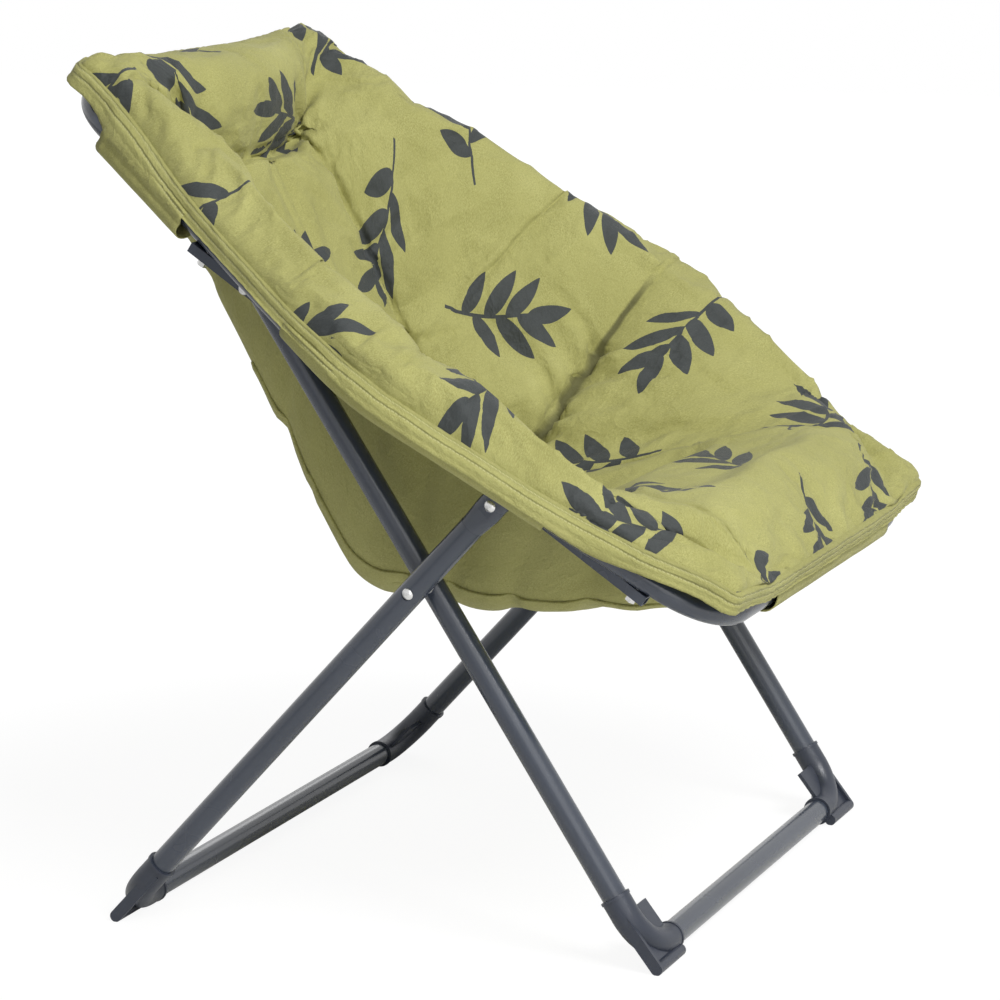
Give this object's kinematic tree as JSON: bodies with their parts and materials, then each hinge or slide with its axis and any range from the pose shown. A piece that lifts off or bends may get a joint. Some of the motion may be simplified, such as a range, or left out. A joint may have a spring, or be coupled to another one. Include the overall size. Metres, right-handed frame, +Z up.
{
  "type": "folding chair",
  "caption": "Padded folding relaxer chair: crossed tube legs carry a sloping six-sided tube rim with a bucket seat of printed fabric",
  "frame": {"origin": "on the floor, under the middle of the bounding box", "axes": "+Z up, the sitter faces -Y, +X is the sitter's left"},
  "size_m": [0.7738, 0.7319, 0.8548],
  "materials": {
    "frame_paint": "satin",
    "foot_plastic": "satin",
    "bright_metal": "polished",
    "washer_plastic": "matte",
    "printed_fabric": "woven, printed with leaf sprigs",
    "plain_fabric": "woven"
  },
  "bodies": {
    "rear_legs": {"rear_leg_frame": "frame_paint", "rear_foot_left": "foot_plastic", "rear_foot_right": "foot_plastic", "scissor_rivets": "bright_metal", "outer_saddle_washers": "washer_plastic", "rear_leg_top_pins": "bright_metal"},
    "front_legs": {"front_leg_frame": "frame_paint", "front_foot_left": "foot_plastic", "front_foot_right": "foot_plastic", "inner_saddle_washers": "washer_plastic", "front_leg_top_rivets": "bright_metal"},
    "seat": {"side_rail_left": "frame_paint", "side_rail_right": "frame_paint", "back_rim_tube": "frame_paint", "seat_rim_tube": "frame_paint", "rim_joiners": "frame_paint", "rim_bolts": "bright_metal", "rim_nuts": "bright_metal", "rail_washers": "washer_plastic", "top_sleeve": "plain_fabric", "upper_sleeve_left": "plain_fabric", "upper_sleeve_right": "plain_fabric", "side_sleeve_left": "plain_fabric", "side_sleeve_right": "plain_fabric", "front_sleeve": "plain_fabric", "edge_binding": "plain_fabric", "padded_liner": "printed_fabric", "outer_bag": "plain_fabric", "bag_welt": "plain_fabric"},
    "slide_brackets": {"slide_bracket_left": "frame_paint", "slide_bracket_right": "frame_paint"}
  },
  "joints": [
    {"name": "leg_scissor", "type": "hinge", "parent": "rear_legs", "child": "front_legs", "pos_m": [0, -0.04939, 0.36159], "axis": [1, 0, 0], "range_deg": [0, 75]},
    {"name": "seat_tilt", "type": "hinge", "parent": "front_legs", "child": "seat", "pos_m": [0, 0.12887, 0.64084], "axis": [1, 0, 0], "range_deg": [0, 20]},
    {"name": "bracket_slide", "type": "slide", "parent": "seat", "child": "slide_brackets", "axis": [0, 0.829, 0.5592], "range_m": [0, 0.114]}
  ],
  "couplings": [
    {"joint": "seat_tilt", "follows": "leg_scissor", "ratio": 0.2657},
    {"joint": "bracket_slide", "follows": "leg_scissor", "m_per_rad": 0.0862}
  ]
}
